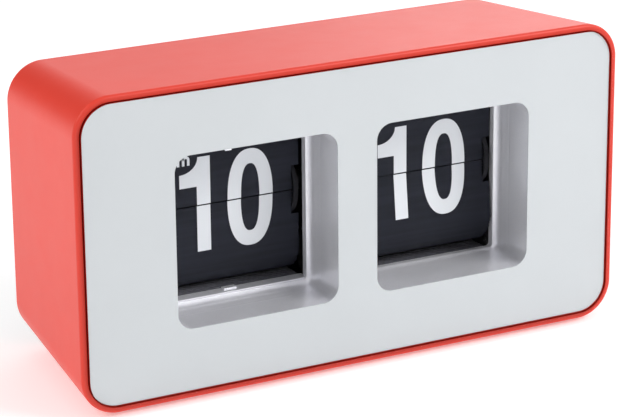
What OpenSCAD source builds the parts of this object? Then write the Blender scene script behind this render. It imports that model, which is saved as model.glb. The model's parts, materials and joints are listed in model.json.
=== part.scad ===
// Table flip clock with two windows: hours on the left, minutes on the right.
// The clock stands on four rubber feet. X is to the right, Y runs from the front
// to the back and Z is up. The origin is on the table, at the middle of the footprint.
//
// Everything inside the place() module is laid out from the middle of the front lip:
// x = 0 and z = 0 are the centre of the front, y = 0 is the plane of the lip.

/* [Case] */
// Width of the case at its front lip
case_w = 180; // [178:1:190]
// Height of the case at its front lip
case_h = 95; // [95:1:102]
// Depth of the tapered sleeve, from the lip to its back edge
sleeve_d = 61.5; // [61:0.5:63]
// How far each side of the sleeve comes in by its back edge
draft = 4.7; // [4:0.1:4.8]
// Outside corner radius of the sleeve
corner_r = 11.4; // [9:0.1:12]
// Wall thickness of the sleeve
wall = 2; // [1.8:0.1:2]
// Gap between the table and the bottom of the lip
ground_gap = 1; // [0.6:0.1:2]

/* [Front] */
// How far the clear front plate stands proud of the lip
lens_proud = 1.3; // [0.5:0.1:1.6]
// Thickness of the clear front plate
lens_t = 2; // [1.6:0.1:2.2]
// Side of each square window
window = 52.5; // [52:0.5:54]
// Corner radius of each window
window_r = 5; // [3:0.5:6]
// Distance from the middle of the clock to the middle of each window
window_x = 32.8; // [32.6:0.1:33]

/* [Leaves] */
// Width of a leaf
leaf_w = 48.2; // [47.6:0.1:48.4]
// Length of a leaf from its pins to its tip
leaf_len = 18.4; // [17.2:0.1:18.5]
// Thickness of a leaf
leaf_t = 0.15; // [0.1:0.01:0.16]
// Height of the split line and of the drum shaft above the middle of the front
split_z = 3.1; // [2.6:0.1:3.6]
// Depth of the drum shaft behind the lip
shaft_y = 30.4; // [30.4:0.1:30.8]
// Radius of the circle of pins on the minute drum
minute_r = 10.2; // [10:0.1:10.3]
// Radius of the circle of pins on the hour drum
hour_r = 8.2; // [8:0.1:8.3]

/* [Movement] */
// Tooth size of all gears: pitch diameter over number of teeth
gear_m = 0.5; // [0.5:0.5:0.5]
// Radius of the thumbwheel that sets the time
thumb_r = 13.5; // [13:0.1:13.8]

/* [Hidden] */
$fn = 48;
skin = 0.01;        // thickness of the end slices that a taper is hulled from
cut = 0.5;          // how far a cutting tool runs past the face it opens

// Colours
coral = "#f0483c";
silver_grey = "#b4b4c0";
charcoal = "#26262a";
mid_grey = "#5c5c62";
leaf_black = "#2a2a2e";
nylon = "#e8e6dc";
steel = "#b8bcc0";
brass = "#c9a24e";

// Depths behind the lip
lens_back = lens_t - lens_proud;
mask_t = 0.3;
mask_back = lens_back + mask_t;
bezel_t = 1.6;
bezel_back = mask_back + bezel_t;
tunnel_end = 18.5;
tunnel_inset = 1.6;
tunnel_wall = 1.2;
minute_drop = 0.8;  // how much less the floor of the minute tunnel steps up than its other walls
ring_y0 = 18.6;
ring_y1 = 20.6;
cover_t = 2;
cover_y0 = sleeve_d - cover_t;
bulge_y1 = 84.7;
overall_d = lens_proud + bulge_y1;

// Battery box: an R20 cell lies across the clock in it
cell_r = 17.1;
cell_len = 60;
cell_nub = 1.5;
cell_x0 = -(cell_len + cell_nub) / 2;
cell_x1 = cell_x0 + cell_len + cell_nub;
cell_y = 65.2;
cell_z = -20;
bulge_w = 76;
bulge_h = 41;
box_w = 70;
box_h = 34.6;
door_w = 69;
door_h = 36.2;
door_t = 1.5;
door_gap = 0.2;

// Movement frame
side_x0 = 58.3;
side_t = 1.5;
side_x1 = side_x0 + side_t;
base_z0 = -36;
base_t = 1.6;
foot_x = 68;
foot_y = [10, 50];
opening_top = 25.15;    // top and bottom edges of both openings in the frame ring
opening_z0 = -25.6;
sill_top = -24.15;      // a silver sill fills the bottom of the hour opening
sill_back = 22.6;
sill_half = 25;
sill_tab_half = 2.1;    // half the width of the tab on the sill, and its height
sill_tab_h = 0.4;
finger_half = 1;
root_half = 3;          // half the width of the root of a finger
finger_t = 0.5;

// Trays under the leaves, which close the view into the case
tray_half_w = 24;
tray_t = 1.2;
tray_back = 37;
tray_groove_n = 7;
tray_groove_pitch = 1.5;
tray_groove_w = 0.6;
tray_groove_d = 0.4;
post_x = 66;
post_z = 32;
boss_x = 74;
boss_z = 32;
boss_r = 4;
boss_y0 = 45;
boss_web = 1.5;     // half the thickness of the web from a boss to the sleeve
boss_web_to = 41.3; // the web ends inside the sleeve's wall
pilot_r = 1.4;
pilot_y0 = 49;
screw_clear_r = 1.7;
screw_head_r = 3.2;
screw_sink = 0.8;
vent_n = 4;         // sound slots in the rear cover
vent_pitch = 4;
vent_z0 = 12;
vent_h = 1.4;
vent_half_w = 20;
centre_t = 1.5;
motor_plate_x0 = 64;
motor_plate_x1 = motor_plate_x0 + side_t;

// Drums
shaft_rad = 1.5;
fit = 0.05;         // running clearance of a shaft in its bore
disc_x0 = 22;
disc_t = 1.4;
disc_rim = 1.5;     // how far a disc reaches past its circle of pins
groove_half = 0.6;
groove_d = 1.1;
hub_r = 4;
neck_r = 3;
drum_x = window_x - 0.1;
minute_count = 60;
hour_count = 24;
minute_heel = 0.35; // how far a leaf reaches past its pins, so that two leaves nearly meet
hour_heel = 0.85;
upright_to = 22.6;  // pins up to this angle above the front hold their leaf upright
lean = 9;           // further back a leaf leans this much less than its pin has turned
leaf_gap = 0.2;
minute_start = -0.086; // how far the front waiting leaf stands back from the front of its circle of pins
hour_start = -0.14;
minute_waiting_n = 31; // leaves that wait behind the one that falls next
hour_waiting_n = 12;
notch_half = 1.4;      // the notch in the tip of a leaf, which clears the finger of the front ring
notch_d = 3.4;
front_lean = 6;     // the pack of fallen minute leaves pushes its front leaf out this far
lean_over = 15;     // number of fallen leaves over which that lean dies out

// Gear train
minute_pinion_n = 14;
idler_wheel_n = 56;
idler_pinion_n = 10;
hour_gear_n = 60;
minute_gear_n = 50;
motor_pinion_n = 10;
setting_gear_n = 32;
backlash = 0.06;
idler_dir = 50;     // direction from the drum shaft to the idler, upwards from the back
idler_dist = gear_m * (minute_pinion_n + idler_wheel_n) / 2;
idler_y = shaft_y + idler_dist * cos(idler_dir);
idler_z = split_z + idler_dist * sin(idler_dir);
motor_dir = -127;
motor_dist = gear_m * (minute_gear_n + motor_pinion_n) / 2;
motor_y = shaft_y + motor_dist * cos(motor_dir);
motor_z = split_z + motor_dist * sin(motor_dir);
setting_dir = -12;
setting_dist = gear_m * (minute_gear_n + setting_gear_n) / 2;
setting_y = shaft_y + setting_dist * cos(setting_dir);
setting_z = split_z + setting_dist * sin(setting_dir);
side_gear_x = 60.5; // the gears outside the right side plate start here
wheel_t = 1.5;
side_gear_t = 2;
thumb_x0 = 68;
thumb_t = 5;
thumb_slot = sqrt(thumb_r ^ 2 - (cover_y0 - setting_y) ^ 2) + 0.8; // half the height of its slot

// ---------- helpers ----------

// From the front's own frame to the frame of the part
module place() {
    translate([0, lens_proud - overall_d / 2, case_h / 2 + ground_gap]) children();
}

// A flat outline drawn in X and Z, from depth y0 to depth y1
module slab(y0, y1) {
    translate([0, y1, 0]) rotate([90, 0, 0]) linear_extrude(y1 - y0) children();
}

// A flat outline drawn in Y and Z, from x0 to x1
module across(x0, x1) {
    translate([x0, 0, 0]) rotate([90, 0, 90]) linear_extrude(x1 - x0) children();
}

// A round bar along X
module bar(x0, x1, r, y, z) {
    translate([x0, y, z]) rotate([0, 90, 0]) cylinder(h = x1 - x0, r = r);
}

// A round bar along Y
module peg(y0, y1, r, x, z) {
    translate([x, y1, z]) rotate([90, 0, 0]) cylinder(h = y1 - y0, r = r);
}

module block(from, to) {
    translate(from) cube(to - from);
}

// A rectangle with true round corners
module round_rect(w, h, r) {
    square([w - 2 * r, h], center = true);
    square([w, h - 2 * r], center = true);
    for (x = [-1, 1], z = [-1, 1]) translate([x * (w / 2 - r), z * (h / 2 - r)]) circle(r = r);
}

// The tapered body of the sleeve, brought in by inset on every side
module taper(inset, y0, y1) {
    hull() {
        for (y = [y0, y1 - skin]) {
            slab(y, y + skin) outline_at(y, inset);
        }
    }
}

module outline_at(y, inset) {
    come_in = 2 * (inset + draft * y / sleeve_d);
    round_rect(case_w - come_in, case_h - come_in, corner_r - inset, $fn = 32);
}

module four_corners(x, z) {
    for (sx = [-1, 1], sz = [-1, 1]) translate([sx * x, 0, sz * z]) children();
}

module both_tunnels(grow) {
    translate([-window_x, 0, 0]) tunnel(grow, 0);
    translate([window_x, 0, 0]) tunnel(grow, minute_drop);
}

// Gears: involute flanks, with a radial flank below the base circle
function involute(r, base) = let (t = acos(min(1, base / r))) tan(t) * 180 / PI - t;

function flank(n, r, base) =
    let (rp = gear_m * n / 2)
    90 / n - backlash / rp * 90 / PI + involute(rp, base) - involute(max(r, base), base);

function tooth(n, add, ded) =
    let (rp = gear_m * n / 2, base = rp * cos(20), rs = [rp - ded, max(base, rp - ded / 2), rp, rp + add])
    concat([for (r = rs) [r, -flank(n, r, base)]], [for (i = [3:-1:0]) [rs[i], flank(n, rs[i], base)]]);

module gear_outline(n, add, ded, turn) {
    one = tooth(n, add, ded);
    polygon([
        for (i = [0:n - 1], p = one)
            let (a = turn + i * 360 / n + p[1]) p[0] * [cos(a), sin(a)]
    ]);
}

// Large wheels have short tips and small pinions have longer ones
module wheel(n, x0, x1, y, z, turn, bore) {
    translate([0, y, z]) across(x0, x1) difference() {
        gear_outline(n, 0.6 * gear_m, 1.05 * gear_m, turn);
        circle(r = bore);
    }
}

module pinion(n, x0, x1, y, z, turn, bore) {
    translate([0, y, z]) across(x0, x1) difference() {
        gear_outline(n, 0.8 * gear_m, 0.85 * gear_m, turn);
        circle(r = bore);
    }
}

// A pan-head screw along Y with its head at the back; head_y is under the head
module screw(head_y, length, r, head_r) {
    difference() {
        union() {
            peg(head_y - length, head_y, r, 0, 0);
            peg(head_y, head_y + 1.4, head_r, 0, 0);
        }
        for (a = [0, 90]) rotate([0, a, 0])
            block([-head_r * 0.6, head_y + 0.7, -0.35], [head_r * 0.6, head_y + 2, 0.35]);
    }
}

// A tube swept along points, for wire and springs
function unit(v) = v / norm(v);

function ring_points(p, d, r, sides) =
    let (u = unit(cross(d, abs(d[0]) > 0.9 ? [0, 1, 0] : [1, 0, 0])), v = cross(d, u))
    [for (j = [0:sides - 1]) p + r * (cos(j * 360 / sides) * u + sin(j * 360 / sides) * v)];

module wire(path, r, sides = 8) {
    last = len(path) - 1;
    rings = [
        for (i = [0:last])
            ring_points(path[i], unit(path[min(i + 1, last)] - path[max(i - 1, 0)]), r, sides)
    ];
    points = [for (ring = rings, p = ring) p];
    faces = concat(
        [[for (j = [0:sides - 1]) j]],
        [for (i = [0:last - 1], j = [0:sides - 1]) let (k = (j + 1) % sides)
            [i * sides + j, (i + 1) * sides + j, (i + 1) * sides + k, i * sides + k]],
        [[for (j = [sides - 1:-1:0]) last * sides + j]]
    );
    polyhedron(points, faces, convexity = 4);
}

// ---------- case ----------

module case_sleeve() {
    color(coral) place() difference() {
        union() {
            difference() {
                taper(0, 0, sleeve_d);
                taper(wall, -cut, sleeve_d + cut);
            }
            // the ledge that the front parts sit against
            slab(bezel_back, bezel_back + 2) difference() {
                outline_at(bezel_back + 2, wall / 2);
                round_rect(case_w - 12, case_h - 12, corner_r - 5);
            }
            // bosses for the screws of the rear cover
            four_corners(boss_x, boss_z) peg(boss_y0, cover_y0, boss_r, 0, 0);
            for (sx = [-1, 1], sz = [-1, 1])
                block(
                    [sx * boss_x - boss_web, boss_y0, min(sz * (boss_z + boss_r / 2), sz * boss_web_to)],
                    [sx * boss_x + boss_web, cover_y0, max(sz * (boss_z + boss_r / 2), sz * boss_web_to)]
                );
        }
        four_corners(boss_x, boss_z) peg(pilot_y0, cover_y0 + cut, pilot_r, 0, 0);
    }
}

module front_lens() {
    color("white", 0.3) place() slab(-lens_proud, lens_back)
        round_rect(case_w - 2 * wall - 0.6, case_h - 2 * wall - 0.6, corner_r - wall - 0.3);
}

module window_mask() {
    color("white") place() slab(lens_back, mask_back) difference() {
        round_rect(case_w - 2 * wall - 0.6, case_h - 2 * wall - 0.6, corner_r - wall - 0.3);
        for (s = [-1, 1]) translate([s * window_x, 0]) round_rect(window, window, window_r);
    }
}

// Each tunnel runs straight back, then steps in twice before the leaves
module tunnel(grow, floor_drop) {
    step_y = [mask_back, 12.3, 16.3, tunnel_end];
    step_in = [0, tunnel_inset / 3, tunnel_inset];
    for (i = [0:2]) {
        side = window - 2 * step_in[i] + 2 * grow;
        lower = floor_drop * step_in[i] / tunnel_inset;
        over = grow > 0 ? 0 : (i == 2 ? cut : skin);
        translate([0, 0, -lower / 2]) slab(step_y[i] - (i == 0 && grow == 0 ? cut : 0), step_y[i + 1] + over)
            round_rect(side, side + lower, i == 0 ? window_r + grow : 1.5 + grow);
    }
}

module window_bezel() {
    color(silver_grey) place() difference() {
        union() {
            slab(mask_back, bezel_back)
                round_rect(case_w - 2 * wall - 1.2, case_h - 2 * wall - 1.2, corner_r - wall - 0.6);
            both_tunnels(tunnel_wall);
            four_corners(post_x, post_z) peg(bezel_back, ring_y0, 3, 0, 0);
        }
        both_tunnels(0);
        four_corners(post_x, post_z) peg(10, ring_y0 + cut, 1.2, 0, 0);
    }
}

module rear_cover() {
    color(charcoal) place() difference() {
        union() {
            slab(cover_y0, sleeve_d)
                round_rect(case_w - 2 * (wall + draft) - 0.4, case_h - 2 * (wall + draft) - 0.4, corner_r - wall);
            translate([0, 0, cell_z]) slab(cover_y0, bulge_y1) round_rect(bulge_w, bulge_h, 4);
        }
        // the inside of the battery box, and the stepped opening for its door
        translate([0, 0, cell_z]) {
            slab(cover_y0 - cut, bulge_y1 - 2) round_rect(box_w, box_h, 1);
            slab(bulge_y1 - 3, bulge_y1 + cut) round_rect(2 * cell_x1 + 0.9, box_h, 1);
            slab(bulge_y1 - door_t - 0.1, bulge_y1 + cut)
                round_rect(door_w + 2 * door_gap, door_h + 2 * door_gap, 2 + door_gap);
        }
        // the slot for the thumbwheel
        block(
            [thumb_x0 - 0.6, cover_y0 - cut, setting_z - thumb_slot],
            [thumb_x0 + thumb_t + 0.6, sleeve_d + cut, setting_z + thumb_slot]
        );
        four_corners(boss_x, boss_z) peg(cover_y0 - cut, sleeve_d + cut, screw_clear_r, 0, 0);
        four_corners(boss_x, boss_z) peg(sleeve_d - screw_sink, sleeve_d + cut, screw_head_r, 0, 0);
        for (i = [0:vent_n - 1]) translate([0, 0, vent_z0 + vent_pitch * i])
            block([-vent_half_w, cover_y0 - cut, 0], [vent_half_w, sleeve_d + cut, vent_h]);
    }
}

module rear_cover_screws() {
    color(steel) place() four_corners(boss_x, boss_z) screw(sleeve_d - screw_sink, 9.5, pilot_r, 2.8);
}

// The feet take up the taper of the sleeve, so the front stands upright
module rubber_feet() {
    color("#1c1c1e") place() difference() {
        for (x = [-foot_x, foot_x], y = foot_y)
            translate([x, y, -case_h / 2 - ground_gap]) cylinder(h = 7, r1 = 4.6, r2 = 5);
        translate([0, 0, -case_h / 2]) rotate([atan(draft / sleeve_d), 0, 0])
            translate([-case_w / 2, -20, 0]) cube([case_w, 100, 20]);
    }
}

// ---------- battery ----------

module battery_door() {
    color(charcoal) place() translate([0, 0, cell_z]) difference() {
        union() {
            slab(bulge_y1 - door_t, bulge_y1) round_rect(door_w, door_h, 2);
            // the tongues that snap behind the edge of the opening
            for (x = [-20, 0, 20])
                block([x - 4, bulge_y1 - 4.5, -door_h / 2 + 2.2], [x + 4, bulge_y1 - door_t, -door_h / 2 + 3.4]);
        }
        // finger groove
        for (i = [0:2])
            block([-9, bulge_y1 - 0.6, 9.5 - 2.2 * i], [9, bulge_y1 + cut, 10.4 - 2.2 * i]);
    }
}

// A round trough in front of the cell, with a wall across each end
module battery_tray() {
    color(charcoal) place() difference() {
        bar(-box_w / 2 - 2, box_w / 2 + 2, cell_r + 1.6, cell_y, cell_z);
        bar(-box_w / 2, box_w / 2, cell_r + 0.3, cell_y, cell_z);
        block([-box_w, cover_y0, cell_z - 30], [box_w, cover_y0 + 40, cell_z + 30]);
    }
}

module battery_cell() {
    color("#3c6e9c") place() {
        bar(cell_x0, cell_x0 + cell_len, cell_r, cell_y, cell_z);
        bar(cell_x0 + cell_len, cell_x1, 4.7, cell_y, cell_z);
    }
}

module contact_plate() {
    color(steel) place() difference() {
        union() {
            block([cell_x1, cell_y - 7, cell_z - 7], [cell_x1 + 0.4, cell_y + 7, cell_z + 7]);
            block([cell_x1, cell_y - 16.8, cell_z - 1.5], [box_w / 2, cell_y - 16.4, cell_z + 1.5]);
            block([cell_x1, cell_y - 16.8, cell_z - 1.5], [cell_x1 + 0.4, cell_y - 7, cell_z + 1.5]);
        }
        bar(cell_x1 - 1, cell_x1 + 1, 0.8, cell_y - 13, cell_z);
    }
}

module contact_spring() {
    turns = 4;
    steps = 20;
    spring_wire = 0.4;
    span = cell_x0 + box_w / 2 - 2 * spring_wire;
    color(steel) place() translate([-box_w / 2 + spring_wire, cell_y, cell_z])
        wire([
            for (i = [0:turns * steps])
                let (a = i * 360 / steps, s = i / (turns * steps), r = 8 - 3.5 * s)
                [span * s, r * cos(a), r * sin(a)]
        ], spring_wire, 6);
}

// Two thin wires from the battery contacts to the circuit board, clipped along the frame
module battery_leads() {
    color("#c03028") place() {
        wire([
            [-37, 50.6, -12], [-40, 50.4, -12.4], [-46, 50, -13], [-52, 49, -13.5],
            [-57, 48, -13.5], [-60.6, 47, -12.5], [-61.3, 44, -11]
        ], 0.5);
        wire([
            [-37, 49, -17], [-40, 48.8, -17.4], [-46, 48.6, -18], [-52, 48, -18.2],
            [-57, 47.6, -17.6], [-60.6, 46.8, -16.5], [-61.3, 44, -15]
        ], 0.5);
    }
}

// ---------- movement frame ----------

module frame_ring() {
    difference() {
        round_rect(2 * (post_x + 5), 2 * (post_z + 4), 4);
        for (x = [-window_x, window_x]) translate([x, (opening_top + opening_z0) / 2])
            round_rect(window - 2 * tunnel_inset, opening_top - opening_z0, 1);
        // room for the hour gear between the two openings, and for the gears and motor on the right
        translate([-3.2, split_z]) square([4.2, 26], center = true);
        translate([side_x1 + 0.3, -28]) square([20, 52]);
        for (sx = [-1, 1], sz = [-1, 1]) translate([sx * post_x, sz * post_z]) circle(r = 1.6);
    }
}

module side_outline(back) {
    difference() {
        translate([ring_y1, base_z0]) square([back - ring_y1, 58]);
        // corners cut away
        translate([back, 24]) rotate(45) square(20, center = true);
        translate([shaft_y, split_z]) circle(r = shaft_rad + fit);
    }
}

module movement_frame() {
    color(charcoal) place() difference() {
        union() {
            block([-side_x1, ring_y1, base_z0], [side_x1, 45, base_z0 + base_t]);
            across(-side_x1, -side_x0) side_outline(50);
            across(side_x0, side_x1) side_outline(57);
        }
        // press bores for the setting axle and the posts of the motor plate
        bar(side_x0 - cut, side_x1 + cut, 1.5, setting_y, setting_z);
        for (p = motor_posts()) bar(side_x0 - cut, side_x1 + cut, 1, p[0], p[1]);
        // a notch lets the battery wires through the left plate
        block([-side_x1 - cut, 45.6, -19.5], [-side_x0 + cut, 50 + cut, -4.5]);
    }
}

module movement_screws() {
    color(steel) place() four_corners(post_x, post_z) screw(ring_y1, 9, 1.2, 2.4);
}

module centre_plate() {
    color(charcoal) place() difference() {
        union() {
            across(-centre_t / 2, centre_t / 2) difference() {
                polygon([
                    [ring_y1 + 0.2, base_z0 + base_t], [44.8, base_z0 + base_t], [44.8, -20], [50, 4],
                    [50, 22], [38, 26], [22, 12]
                ]);
                translate([32, -22]) round_rect(12, 14, 3);
            }
            block([-5, 24, base_z0 + base_t], [5, 42, base_z0 + base_t + 1.6]);
            bar(-1.6, 1.2, 2.4, idler_y, idler_z);
        }
        bar(-3, 3, shaft_rad + fit, shaft_y, split_z);
        bar(-3, 3, 1 + fit, idler_y, idler_z);
    }
}

function motor_posts() = [[24.5, 18.5], [24, -25], [53, -24]];

module motor_plate() {
    color(steel) place() difference() {
        across(motor_plate_x0, motor_plate_x1) difference() {
            polygon([[10, -8], [16, -28], [56, -28], [57, 2], [48, 12], [28, 23], [20, 23], [12, 8]]);
            for (p = motor_posts()) translate(p) circle(r = 1.6);
            translate([shaft_y, split_z]) circle(r = shaft_rad + fit);
            translate([setting_y, setting_z]) circle(r = neck_r + fit);
            translate([motor_y, motor_z]) circle(r = 4);
            translate([40, -18]) round_rect(14, 10, 2);
        }
    }
}

// Turned posts riveted in the side plate; a screw head holds the motor plate on each
module motor_plate_posts() {
    color(steel) place() for (p = motor_posts()) {
        bar(side_x0 + 0.5, side_x1, 1, p[0], p[1]);
        bar(side_x1, motor_plate_x0, 2.2, p[0], p[1]);
        bar(motor_plate_x0, motor_plate_x1, 1.6, p[0], p[1]);
        bar(motor_plate_x1, motor_plate_x1 + 1.2, 2.6, p[0], p[1]);
    }
}

// A finger over the tip of each pack holds the waiting leaves upright
// Silver ring in front of the movement, with a finger over each pack of leaves and a sill under the hours
module front_ring() {
    color(silver_grey) place() {
        slab(ring_y0, ring_y1) frame_ring();
        // side, depth and lower end of each finger
        for (s = [[-1, ring_y0 + 1.3, 19.3], [1, ring_y0 + 0.2, 20.7]]) translate([s[0] * drum_x, 0, 0]) {
            block([-finger_half, s[1], s[2]], [finger_half, s[1] + finger_t, opening_top]);
            block([-root_half, ring_y0 + 0.1, opening_top - 0.8], [root_half, ring_y1 - 0.1, opening_top + 1]);
        }
        translate([-window_x, 0, 0])
            block([-sill_half, ring_y0 + 0.1, opening_z0 - 1], [sill_half, sill_back, sill_top]);
        translate([-drum_x, 0, 0])
            block([-sill_tab_half, ring_y1, sill_top - 1], [sill_tab_half, sill_back - 0.1, sill_top + sill_tab_h]);
    }
}

// A grooved tray on a wall that stands on the base of the movement frame
module leaf_tray(x, y0, top) {
    color(mid_grey) place() translate([x, 0, 0]) difference() {
        union() {
            block([-tray_half_w, y0, top - tray_t], [tray_half_w, tray_back, top]);
            block([-tray_half_w, tray_back - tray_t, base_z0 + base_t], [tray_half_w, tray_back, top]);
        }
        for (i = [1:tray_groove_n]) translate([0, y0 + tray_groove_pitch * i, top - tray_groove_d])
            block([-tray_half_w - cut, 0, 0], [tray_half_w + cut, tray_groove_w, 1]);
    }
}

module hour_leaf_tray() { leaf_tray(-window_x, sill_back, sill_top); }
module minute_leaf_tray() { leaf_tray(window_x, ring_y1, opening_z0 - 0.7); }

// ---------- drums ----------

module drum_shaft() {
    color(steel) place() bar(-side_x1 - 1, motor_plate_x1 + 1, shaft_rad, shaft_y, split_z);
}

// A disc with a ring groove on one face, where the pins of the leaves run
module disc(side, x, pin_r) {
    color(leaf_black) place() translate([side * drum_x + x, 0, 0]) difference() {
        bar(x > 0 ? 0 : -disc_t, x > 0 ? disc_t : 0, pin_r + disc_rim, shaft_y, split_z);
        bar(-2, 2, neck_r, shaft_y, split_z);
        difference() {
            bar(-groove_d, groove_d, pin_r + groove_half, shaft_y, split_z);
            bar(-2, 2, pin_r - groove_half, shaft_y, split_z);
        }
    }
}

module minute_hub() {
    color(leaf_black) place() difference() {
        union() {
            bar(drum_x - disc_x0, drum_x + disc_x0, hub_r, shaft_y, split_z);
            bar(drum_x - disc_x0 - 1.7, drum_x + disc_x0 + 1.7, neck_r, shaft_y, split_z);
        }
        bar(0, 80, shaft_rad, shaft_y, split_z);
    }
}

module minute_disc_inner() { disc(1, -disc_x0, minute_r); }
module minute_disc_outer() { disc(1, disc_x0, minute_r); }

module minute_pinion() {
    color(brass) place()
        pinion(minute_pinion_n, 1.3, 3.4, shaft_y, split_z, idler_dir, shaft_rad);
}

module minute_gear() {
    color(nylon) place()
        wheel(minute_gear_n, side_gear_x, side_gear_x + side_gear_t, shaft_y, split_z, 0, shaft_rad);
}

module hour_hub() {
    color(leaf_black) place() difference() {
        union() {
            bar(-drum_x - disc_x0, -drum_x + disc_x0, hub_r, shaft_y, split_z);
            bar(-drum_x - disc_x0 - 1.7, -2, neck_r, shaft_y, split_z);
        }
        bar(-80, 0, shaft_rad + fit, shaft_y, split_z);
    }
}

module hour_disc_inner() { disc(-1, disc_x0, hour_r); }
module hour_disc_outer() { disc(-1, -disc_x0, hour_r); }

module hour_gear() {
    color(leaf_black) place() wheel(hour_gear_n, -3.9, -2.4, shaft_y, split_z, idler_dir, neck_r);
}

// ---------- leaves ----------

// Right half of a leaf, from its heel up to its tip. Only a leaf that moves has a notch for the finger:
// a real leaf bends past it.
function half_leaf(heel, moves) = concat(
    [
        [21.6, -heel], [21.6, -0.3], [disc_x0 + 1, -0.3], [disc_x0 + 1, 0.3], [21.6, 0.3],
        [21.6, 6.6], [leaf_w / 2, 6.6], [leaf_w / 2, leaf_len]
    ],
    moves ? [[notch_half, leaf_len], [notch_half, leaf_len - notch_d]] : []
);

module leaf(heel, moves) {
    right = half_leaf(heel, moves);
    last = len(right) - 1;
    rotate([90, 0, 0]) linear_extrude(leaf_t, center = true)
        polygon(concat(right, [for (i = [last:-1:0]) [-right[i][0], right[i][1]]]));
}

// turn is the pin's angle above the front, fall is the leaf's angle back from upright
module leaf_at(pin_r, turn, back, fall, heel, moves = false) {
    translate([0, shaft_y - pin_r + back, split_z + pin_r * sin(turn)]) rotate([-fall, 0, 0]) leaf(heel, moves);
}

function set_back(pin_r, turn, least) = max(pin_r * (1 - cos(turn)), least);

// Leaf i of the waiting pack, counted from the front; leaf 0 is the one that falls next
module waiting_leaf(count, pin_r, heel, i, start) {
    turn = (i + 0.5) * 360 / count;
    fall = turn < upright_to ? 0 : min(180, turn - lean);
    leaf_at(pin_r, turn, set_back(pin_r, turn, start + leaf_gap * i), fall, heel);
}

// Leaf i of the fallen pack, counted from the front
module fallen_leaf(count, pin_r, heel, i, tilt) {
    turn = -(i + 0.5) * 360 / count;
    fall = 180 + tilt * max(0, 1 - i / lean_over);
    leaf_at(pin_r, turn, set_back(pin_r, turn, 0.1 + leaf_gap * i), fall, heel);
}

module minute_leaves_waiting() {
    color(leaf_black) place() translate([drum_x, 0, 0]) for (i = [1:minute_waiting_n])
        waiting_leaf(minute_count, minute_r, minute_heel, i, minute_start);
}

module minute_leaves_fallen() {
    color(leaf_black) place() translate([drum_x, 0, 0])
        for (i = [0:minute_count - minute_waiting_n - 2])
            fallen_leaf(minute_count, minute_r, minute_heel, i, front_lean);
}

module minute_flap() {
    color(leaf_black) place() translate([drum_x, 0, 0])
        leaf_at(minute_r, 180 / minute_count, minute_start, 0, minute_heel, true);
}

module hour_leaves_waiting() {
    color(leaf_black) place() translate([-drum_x, 0, 0]) for (i = [1:hour_waiting_n])
        waiting_leaf(hour_count, hour_r, hour_heel, i, 0);
}

module hour_leaves_fallen() {
    color(leaf_black) place() translate([-drum_x, 0, 0])
        for (i = [0:hour_count - hour_waiting_n - 2])
            fallen_leaf(hour_count, hour_r, hour_heel, i, 0);
}

module hour_flap() {
    color(leaf_black) place() translate([-drum_x, 0, 0])
        leaf_at(hour_r, 180 / hour_count, hour_start, 0, hour_heel, true);
}

// ---------- gear train ----------

module idler_axle() {
    color(steel) place() bar(-4.6, 3.8, 1, idler_y, idler_z);
}

// A gap of the wheel faces a tooth of the pinion on the drum shaft
module idler_wheel() {
    color(nylon) place() difference() {
        wheel(idler_wheel_n, 1.5, 1.5 + wheel_t, idler_y, idler_z, idler_dir + 180 + 180 / idler_wheel_n, 1);
        for (a = [0:60:300])
            bar(1, 4, 2.6, idler_y + 8.5 * cos(a), idler_z + 8.5 * sin(a));
    }
}

module idler_pinion() {
    color(brass) place()
        pinion(idler_pinion_n, -4.2, -2.1, idler_y, idler_z, idler_dir + 180 + 180 / idler_pinion_n, 1);
}

module motor_housing() {
    color(steel) place() difference() {
        union() {
            bar(motor_plate_x1, 76, 13, motor_y, motor_z);
            bar(motor_plate_x0 - 0.6, motor_plate_x1, 4, motor_y, motor_z);
        }
        bar(motor_plate_x1 + 1, 77, 12, motor_y, motor_z);
        bar(motor_plate_x0 - 1, 70, 1 + fit, motor_y, motor_z);
    }
}

module motor_cap() {
    color("#d8d4c4") place() difference() {
        bar(66.6, 76.8, 12, motor_y, motor_z);
        bar(66, 74.5, 1 + fit, motor_y, motor_z);
    }
}

module motor_arbor() {
    color(steel) place() bar(60.2, 74, 1, motor_y, motor_z);
}

// A gap of the pinion faces a tooth of the minute gear
module motor_pinion() {
    tooth_dir = round(motor_dir / (360 / minute_gear_n)) * 360 / minute_gear_n;
    follow = (motor_dir - tooth_dir) * minute_gear_n / motor_pinion_n;
    color(brass) place() pinion(
        motor_pinion_n, side_gear_x, side_gear_x + 2.2, motor_y, motor_z,
        motor_dir + 180 + 180 / motor_pinion_n + follow, 1
    );
}

module setting_axle() {
    color(steel) place() {
        bar(side_x0, thumb_x0 + thumb_t + 1, 1.5, setting_y, setting_z);
        bar(thumb_x0 + thumb_t + 0.4, thumb_x0 + thumb_t + 1.2, 2.6, setting_y, setting_z);
    }
}

module setting_gear() {
    tooth_dir = round(setting_dir / (360 / minute_gear_n)) * 360 / minute_gear_n;
    follow = (setting_dir - tooth_dir) * minute_gear_n / setting_gear_n;
    color(nylon) place() wheel(
        setting_gear_n, side_gear_x, side_gear_x + side_gear_t, setting_y, setting_z,
        setting_dir + 180 + 180 / setting_gear_n + follow, 1.5 + fit
    );
}

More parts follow.
